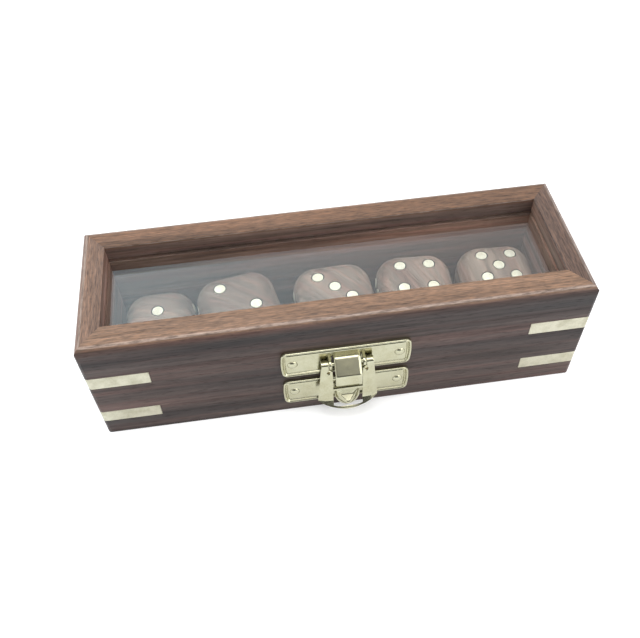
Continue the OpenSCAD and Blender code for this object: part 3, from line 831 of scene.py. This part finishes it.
NAIL_HEAD_R = 1.6
NAIL_DOME = 0.7
NAIL_DOME_LIFT = 0.03
NAIL_DOME_SHARE = 0.995
NAIL_SHANK_R = 0.6
NAIL_TIP_L = 0.4
NAIL_POINT_L = 1.2
NAIL_SIDES = 28
NAIL_DOME_STEPS = 6
NAIL_SHARP = 50


def nail_section(length):
    """Radius and reach from the shank's point to the top of the dome."""
    ball = (NAIL_HEAD_R ** 2 + NAIL_DOME ** 2) / (2 * NAIL_DOME)
    reach = math.asin(NAIL_HEAD_R / ball)
    section = [
        (0, -length),
        (NAIL_SHANK_R / 2, -length + NAIL_TIP_L),
        (NAIL_SHANK_R, -length + NAIL_POINT_L),
        (NAIL_SHANK_R, PLATE_T),
        (NAIL_HEAD_R, PLATE_T),
    ]
    for step in range(NAIL_DOME_STEPS + 1):
        angle = reach * (1 - step / NAIL_DOME_STEPS)
        rise = PLATE_T + NAIL_DOME - ball + ball * math.cos(angle)
        section.append((ball * math.sin(angle) * NAIL_DOME_SHARE, rise + NAIL_DOME_LIFT))
    return section


def add_nail(bm, x0, z0, length):
    """Turns a nail's section about its own line, at a spot of the latch."""
    rings = []
    for radius, reach in nail_section(length):
        ring = []
        for side in range(NAIL_SIDES if radius else 1):
            angle = 2 * math.pi * side / NAIL_SIDES
            ring.append(bm.verts.new(on_latch(x0 + radius * math.cos(angle), reach,
                                              z0 + radius * math.sin(angle))))
        rings.append(ring)
    for ring, after in zip(rings, rings[1:]):
        for side in range(NAIL_SIDES):
            following = (side + 1) % NAIL_SIDES
            corners = [ring[side % len(ring)], ring[following % len(ring)],
                       after[following % len(after)], after[side % len(after)]]
            unique = list(dict.fromkeys(corners))
            if len(unique) > 2:
                bm.faces.new(unique)


def plate_nails(name, node, body):
    """The two nails of a plate, where their node has them."""
    low, high = node_box(node)
    bm = bmesh.new()
    for x0 in (low.x + NAIL_HEAD_R, high.x - NAIL_HEAD_R):
        add_nail(bm, x0 - LATCH_X, (low.z + high.z) / 2, high.y + HALF_W)
    nails = finished(name, bm, latch_brass, sharp=NAIL_SHARP)
    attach(nails, body)
    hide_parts(node)


plate_nails("base_plate_domed_nails", "base_plate_nails", "base")


# Upper latch plate with its strap and ears
# The same plate on the lid. A tongue of the sheet is cut free below its root and bent out
# into a springy strap, and two ears beside the slot carry the hasp's pin.

STRAP_W = 8.1
STRAP_T = 0.8
STRAP_FRONT_ROUND = (0.91, 0.38)
STRAP_BACK_ROUND = (0.35, 0.16)
STRAP_ROUND_STEPS = 5
STRAP_SHELF = 1.4
STRAP_SLOPE = 4.0
STRAP_LIP = 4.0
STRAP_ROOT = 3.3
BEND_R = 1.1
BEND_STEPS = 7
SLOT_W = 9.1
SLOT_FROM = -1
SLOT_TO = 3
RIM_W = 1.0
EAR_IN = 4.7
EAR_T = 0.9
EAR_R = 1.5
EAR_STEPS = 12
EAR_EDGE = 0.15

lid_plate_low, lid_plate_high = node_box("lid_plate")
pin_low, pin_high = node_box("hasp_pin")
PIN_OUT = -HALF_W - (pin_low.y + pin_high.y) / 2
PIN_Z = (pin_low.z + pin_high.z) / 2


def bent(points):
    """Rounds the inner corners of a line of (out, z) points as the sheet bends."""
    line = [Vector(points[0])]
    for before, here, after in zip(points, points[1:], points[2:]):
        here = Vector(here)
        into = (here - Vector(before)).normalized()
        away = (Vector(after) - here).normalized()
        turn = into.angle(away)
        reach = BEND_R * math.tan(turn / 2)
        start = here - into * reach
        end = here + away * reach
        for step in range(BEND_STEPS + 1):
            share = step / BEND_STEPS
            line.append(start.lerp(here, share).lerp(here.lerp(end, share), share))
    line.append(Vector(points[-1]))
    return line


def strap_section():
    """Section of the strap, across and through, with its front long edges well rounded."""
    points = []
    for sx, sn in ((1, 1), (-1, 1), (-1, -1), (1, -1)):
        reach, depth = STRAP_FRONT_ROUND if sn > 0 else STRAP_BACK_ROUND
        arc = []
        for step in range(STRAP_ROUND_STEPS + 1):
            angle = QUARTER * step / STRAP_ROUND_STEPS
            arc.append((sx * (STRAP_W / 2 - reach + reach * math.cos(angle)),
                        sn * (STRAP_T / 2 - depth + depth * math.sin(angle))))
        points += arc if sx * sn > 0 else arc[::-1]
    return points


def add_strap(bm, line):
    """Carries the strap's section along an (out, z) line and closes both ends."""
    rings = []
    for i, spot in enumerate(line):
        before = line[max(i - 1, 0)]
        after = line[min(i + 1, len(line) - 1)]
        run = (after - before).normalized()
        normal = Vector((-run.y, run.x))
        ring = []
        for across, through in strap_section():
            at = spot + normal * through
            ring.append(bm.verts.new(on_latch(across, at.x, at.y)))
        rings.append(ring)
    for ring, after in zip(rings, rings[1:]):
        join_rings(bm, ring, after)
    bm.faces.new(rings[0])
    bm.faces.new(rings[-1][::-1])


strap_z = lid_plate_high.z - STRAP_ROOT
strap_reach = -HALF_W - lid_plate_low.y - STRAP_T / 2
strap_line = bent([
    (PLATE_T / 2, strap_z),
    (PLATE_T + STRAP_SHELF, strap_z),
    (strap_reach, strap_z - STRAP_SLOPE),
    (strap_reach, strap_z - STRAP_SLOPE - STRAP_LIP),
])

bm = bmesh.new()
add_plate(bm, lid_plate_low.z, lid_plate_high.z, (lid_plate_high.x - lid_plate_low.x) / 2)
upper_plate = finished("lid_latch_plate", bm, latch_brass, sharp=PLATE_SHARP)
slot_cut = bmesh.new()
add_prism(slot_cut, [(-SLOT_W / 2, SLOT_FROM), (SLOT_W / 2, SLOT_FROM),
                     (SLOT_W / 2, SLOT_TO), (-SLOT_W / 2, SLOT_TO)],
          lid_plate_low.z + RIM_W, strap_z - STRAP_T / 2,
          lambda x, out, z: (LATCH_X + x, -HALF_W - out, z))
cut_away(upper_plate, slot_cut)

ear_outline = [(PLATE_T / 2, EAR_R), (PLATE_T / 2, -EAR_R)]
for step in range(EAR_STEPS + 1):
    angle = math.pi * (step / EAR_STEPS - 0.5)
    ear_outline.append((PIN_OUT + EAR_R * math.cos(angle), EAR_R * math.sin(angle)))
ears = bmesh.new()
for side in (-1, 1):
    near, far = sorted((side * EAR_IN, side * (EAR_IN + EAR_T)))
    add_prism(ears, ear_outline, near, far,
              lambda out, up, x: (LATCH_X + x, -HALF_W - out, PIN_Z + up))
bmesh.ops.recalc_face_normals(ears, faces=ears.faces)
round_edges(ears, EAR_EDGE)

bm = bmesh.new()
bm.from_mesh(upper_plate.data)
add_strap(bm, strap_line)
merge(bm, ears)
bmesh.ops.recalc_face_normals(bm, faces=bm.faces)
bm.to_mesh(upper_plate.data)
bm.free()
upper_plate.data.shade_smooth()
upper_plate.data.set_sharp_from_angle(angle=math.radians(PLATE_SHARP))
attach(upper_plate, "lid")
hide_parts("lid_plate")

plate_nails("lid_plate_domed_nails", "lid_plate_nails", "lid")


# Hasp
# One stamping: two arms that roll round the pin at the top, spread and lean out a little,
# and are joined by a crossbar and by the bar under the catch's window. Below the bend the
# sheet flares out as a thumb lip with an arc for its edge; each arm has a punched dimple.

HASP_T = 0.62
HASP_TOP_W = 15.8
HASP_LIP_L = 3.5
HASP_LIP_TILT = math.radians(34)
HASP_LEAN = 0.7
HASP_WINDOW_W = 9.2
HASP_EYE_IN = 5.8
HASP_NOTCH_DOWN = 2.1
HASP_BAR_W = 0.8
CROSS_LOW_DOWN = 11.84
CROSS_W = 0.9
EYE_R = 1.3
EYE_OPEN = math.radians(60)
ARM_COLUMNS = 9
INNER_COLUMNS = 5
MIDDLE_COLUMNS = 14
EYE_ROWS = 12
NECK_ROWS = 4
ARM_ROWS = 40
CROSS_ROWS = 3
FOOT_ROWS = 9
LIP_ROWS = 6
BAR_ROWS = 5
ARM_ROLL = 0.45
FOLD_AT = 3 / 8
DIMPLE_DOWN = 2.9
DIMPLE_IN = 1.2
DIMPLE_R = 0.75
DIMPLE_DEPTH = 0.5
BAR_SWELL = 0.16
BAR_TOP_SHARE = 0.85
LEAST_LIP = 0.15
HASP_EDGE = 0.17
HASP_SHARP = 50

hasp_low, hasp_high = node_box("hasp")
HASP_LOW_W = hasp_high.x - hasp_low.x
LIP_DROP = HASP_LIP_L * math.cos(HASP_LIP_TILT)
BEND_Z = hasp_low.z + LIP_DROP
ARC_R = ((HASP_LOW_W / 2) ** 2 + LIP_DROP ** 2) / (2 * LIP_DROP)
BLADE_OUT = PIN_OUT + EYE_R - HASP_T / 2
CURL_R = EYE_R - HASP_T / 2
HALF_WINDOW = HASP_WINDOW_W / 2


def lip_length(x):
    """Length of the lip below the bend, from its arc-shaped edge."""
    rise = ARC_R - math.sqrt(ARC_R ** 2 - min(abs(x), HASP_LOW_W / 2) ** 2)
    return max(HASP_LIP_L * (1 - rise / LIP_DROP), LEAST_LIP)


def arm_half(z):
    """Half the hasp's width at a height of its blade."""
    share = (PIN_Z - z) / (PIN_Z - BEND_Z)
    return (HASP_TOP_W + (HASP_LOW_W - HASP_TOP_W) * share) / 2


def blade_spot(x, z):
    """A spot of the leaning blade, rolled back at the arms' outer edges and dimpled."""
    share = (PIN_Z - z) / (PIN_Z - BEND_Z)
    fold = HASP_EYE_IN + (arm_half(z) - HASP_EYE_IN) * FOLD_AT
    edge = max((abs(x) - fold) / (arm_half(z) - fold), 0)
    out = BLADE_OUT + HASP_LEAN * share - ARM_ROLL * edge
    far = math.hypot(abs(x) - HALF_WINDOW - DIMPLE_IN, z - (PIN_Z - DIMPLE_DOWN))
    out -= DIMPLE_DEPTH * math.exp(-(far / DIMPLE_R) ** 4)
    return on_latch(x, out, z)


def lip_spot(x, down):
    """A spot of the flared lip, so far down it from the bend; the bar swells out a little."""
    start = blade_spot(x, BEND_Z)
    bar = 1 - abs(lip_length(0) - HASP_BAR_W / 2 - down) / (HASP_BAR_W / 2)
    swell = BAR_SWELL * max(bar, 0) * max(1 - (x / HALF_WINDOW) ** 2, 0)
    return start + Vector((
        0,
        -down * math.sin(HASP_LIP_TILT) - swell * math.cos(HASP_LIP_TILT),
        -down * math.cos(HASP_LIP_TILT) + swell * math.sin(HASP_LIP_TILT),
    )) * MM


def bar_start(x):
    """How far down the lip the window ends, kept above the lip's edge."""
    return min(HASP_LIP_L - HASP_BAR_W, BAR_TOP_SHARE * lip_length(x))


def spread(low, high, count):
    """So many values at equal steps, both ends included."""
    return [low + (high - low) * i / (count - 1) for i in range(count)]


def add_sheet(bm, rows):
    """A grid of faces over rows of equally many spots."""
    made = [[bm.verts.new(spot) for spot in row] for row in rows]
    for upper, lower in zip(made, made[1:]):
        for i in range(len(upper) - 1):
            bm.faces.new((upper[i], upper[i + 1], lower[i + 1], lower[i]))


middle_x = spread(-HALF_WINDOW, HALF_WINDOW, MIDDLE_COLUMNS)
notch_z = PIN_Z - HASP_NOTCH_DOWN
cross_low = PIN_Z - CROSS_LOW_DOWN
cross_high = cross_low + CROSS_W
neck_z = spread(PIN_Z, notch_z, NECK_ROWS)
arm_z = spread(notch_z, cross_high, ARM_ROWS)
cross_z = spread(cross_high, cross_low, CROSS_ROWS)
foot_z = spread(cross_low, BEND_Z, FOOT_ROWS)
inner_x = spread(HALF_WINDOW, HASP_EYE_IN, INNER_COLUMNS)
eye_x = spread(HASP_EYE_IN, arm_half(notch_z), ARM_COLUMNS)


def arm_row(side, z):
    """A row across one arm, which widens outside the eye's inner end."""
    grown = (arm_half(z) - HASP_EYE_IN) / (arm_half(notch_z) - HASP_EYE_IN)
    outer_x = [HASP_EYE_IN + (x - HASP_EYE_IN) * grown for x in eye_x]
    return [blade_spot(side * x, z) for x in inner_x[:-1] + outer_x]


def bar_row(side, columns, step):
    """A row of the bar between the window's lower end and the lip's edge."""
    return [lip_spot(side * x, bar_start(x) + (lip_length(x) - bar_start(x)) * step / BAR_ROWS)
            for x in columns]


bm = bmesh.new()
for side in (-1, 1):
    eye_rows = []
    for step in range(EYE_ROWS + 1):
        angle = (math.pi + EYE_OPEN) * (1 - step / EYE_ROWS)
        eye_rows.append([on_latch(side * x, PIN_OUT + CURL_R * math.cos(angle),
                                  PIN_Z + CURL_R * math.sin(angle))
                         for x in spread(HASP_EYE_IN, HASP_TOP_W / 2, ARM_COLUMNS)])
    eye_rows += [[blade_spot(side * x, z)
                  for x in spread(HASP_EYE_IN, arm_half(z), ARM_COLUMNS)] for z in neck_z[1:]]
    add_sheet(bm, eye_rows)
    arm_rows = [arm_row(side, z) for z in arm_z + cross_z + foot_z]
    low_x = [abs(spot.x / MM - LATCH_X) for spot in arm_rows[-1]]
    for step in range(1, LIP_ROWS + 1):
        arm_rows.append([lip_spot(side * x, bar_start(x) * step / LIP_ROWS) for x in low_x])
    arm_rows += [bar_row(side, low_x, step) for step in range(1, BAR_ROWS + 1)]
    add_sheet(bm, arm_rows)
add_sheet(bm, [[blade_spot(x, z) for x in middle_x] for z in cross_z])
add_sheet(bm, [bar_row(1, middle_x, step) for step in range(BAR_ROWS + 1)])
bmesh.ops.remove_doubles(bm, verts=bm.verts, dist=WELD * MM)

dimples = [blade_spot(side * (HALF_WINDOW + DIMPLE_IN), PIN_Z - DIMPLE_DOWN) / MM
           for side in (-1, 1)]
hasp_brass = brass("Hasp brass", BRIGHT_BRASS, DULL_BRASS, rough=0.2, dents=0.12,
                   scratch=0.04, pits=dimples, pit_r=DIMPLE_R)
hasp = finished("hasp_stamping", bm, hasp_brass, sharp=HASP_SHARP)
sheet = hasp.modifiers.new("Sheet", "SOLIDIFY")
sheet.thickness = HASP_T * MM
sheet.offset = 0
rolled = hasp.modifiers.new("Rolled edges", "BEVEL")
rolled.width = HASP_EDGE * MM
rolled.segments = 2
rolled.limit_method = "ANGLE"
rolled.angle_limit = math.radians(HASP_SHARP)
hasp.modifiers.move(0, 2)
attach(hasp, "hasp")
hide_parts("hasp")


# Hasp pin
# A short brass wire that holds the hasp to the lid: it runs through the two ears and both
# rolled eyes. It keeps the shape it has in the frame.

dress("hasp_pin", latch_brass)


# Studio
# A plain pale floor and soft light from above and behind, low in front, and the camera at
# the photograph's place. The photograph's size and the lens in pixels are as measured.

FLOOR_HALF = 3
FLOOR_DROP = 0.0002
BACKDROP = (0.9, 0.9, 0.9, 1)
PHOTO_W = 640
SENSOR = 36.0
FOCAL_PX = 742.2
CAMERA_AT = Vector((-0.0210, -0.1544, 0.2057))
CAMERA_AZIMUTH = math.radians(6.3)
CAMERA_ELEVATION = math.radians(50.96)
CAMERA_ROLL = math.radians(-2.12)

floor_bm = bmesh.new()
bmesh.ops.create_grid(floor_bm, x_segments=8, y_segments=8, size=FLOOR_HALF)
floor_finish = bpy.data.materials.new("Pale floor")
floor_finish.use_nodes = True
floor_skin = floor_finish.node_tree.nodes["Principled BSDF"]
floor_skin.inputs["Base Color"].default_value = (0.88, 0.88, 0.88, 1)
floor_skin.inputs["Emission Color"].default_value = (1, 1, 1, 1)
floor_skin.inputs["Emission Strength"].default_value = 0.18
floor_skin.inputs["Roughness"].default_value = 0.9
floor_skin.inputs["Specular IOR Level"].default_value = 0.1
studio_floor = finished("studio_floor", floor_bm, floor_finish)
studio_floor.location.z = -FLOOR_DROP


def softbox(name, at, aim, width, height, watts):
    """A white rectangular lamp that faces a spot."""
    lamp = bpy.data.lights.new(name, "AREA")
    lamp.shape = "RECTANGLE"
    lamp.size = width
    lamp.size_y = height
    lamp.energy = watts
    holder = bpy.data.objects.new(name, lamp)
    bpy.context.scene.collection.objects.link(holder)
    holder.location = at
    holder.rotation_euler = (Vector(aim) - Vector(at)).to_track_quat("-Z", "Y").to_euler()


softbox("Overhead softbox", (-0.1, -0.1, 1.0), (0, 0, 0), 0.9, 0.5, 4.2)
softbox("Front right softbox", (0.5, -0.42, 0.34), (0.05, 0, 0.02), 0.7, 0.5, 3.0)
softbox("Left softbox", (-0.6, -0.38, 0.27), (0, 0, 0.02), 0.4, 0.4, 0.6)

world = bpy.data.worlds.new("Studio room")
bpy.context.scene.world = world
world.use_nodes = True
room = world.node_tree
aim = add_node(room, "SeparateXYZ",
               {"Vector": add_node(room, "TexCoord", {}).outputs["Generated"]})
front_glow = add_ramp(room, aim.outputs["Z"], [
    (0.0, grey(0.10)), (0.30, grey(0.13)), (0.50, grey(0.30)), (0.64, grey(0.62)),
    (0.77, grey(1.25)), (1.0, grey(1.4))])
back_glow = add_ramp(room, aim.outputs["Z"], [
    (0.0, grey(0.5)), (0.4, grey(0.95)), (0.65, grey(1.5)), (1.0, grey(1.4))])
sides = add_node(room, "MapRange", {
    "Value": aim.outputs["X"], "From Min": -1.0, "From Max": 1.0}).outputs["Result"]
fade = add_ramp(room, sides, [
    (0.0, (1.10, 1.28, 1.36)), (0.42, (1.24, 1.46, 1.56)), (0.64, (0.87, 0.87, 0.88)),
    (1.0, (0.94, 0.94, 0.94))])
depth = add_node(room, "MapRange", {
    "Value": aim.outputs["Y"], "From Min": -0.25, "From Max": 0.25}).outputs["Result"]
back_glow = tinted(room, back_glow, fade, 1.0)
glow = tinted(room, front_glow, back_glow, depth, "MIX")
seen = add_node(room, "LightPath", {}).outputs["Is Camera Ray"]
glow = tinted(room, glow, BACKDROP, seen, "MIX")
room.links.new(glow, room.nodes["Background"].inputs["Color"])
room.nodes["Background"].inputs["Strength"].default_value = 1.0
bpy.context.scene.view_settings.view_transform = "Standard"

ahead = Vector((
    math.sin(CAMERA_AZIMUTH) * math.cos(CAMERA_ELEVATION),
    math.cos(CAMERA_AZIMUTH) * math.cos(CAMERA_ELEVATION),
    -math.sin(CAMERA_ELEVATION),
))
level = ahead.cross(Vector((0, 0, 1))).normalized()
upward = level.cross(ahead)
camera_x = math.cos(CAMERA_ROLL) * level + math.sin(CAMERA_ROLL) * upward
camera_y = math.cos(CAMERA_ROLL) * upward - math.sin(CAMERA_ROLL) * level
lens = bpy.data.cameras.new("Photograph's lens")
lens.sensor_width = SENSOR
lens.lens = SENSOR * FOCAL_PX / PHOTO_W
lens.clip_start = 0.01
camera = bpy.data.objects.new("Camera", lens)
bpy.context.scene.collection.objects.link(camera)
camera.matrix_world = Matrix((
    (camera_x.x, camera_y.x, -ahead.x, CAMERA_AT.x),
    (camera_x.y, camera_y.y, -ahead.y, CAMERA_AT.y),
    (camera_x.z, camera_y.z, -ahead.z, CAMERA_AT.z),
    (0, 0, 0, 1),
))
bpy.context.scene.camera = camera
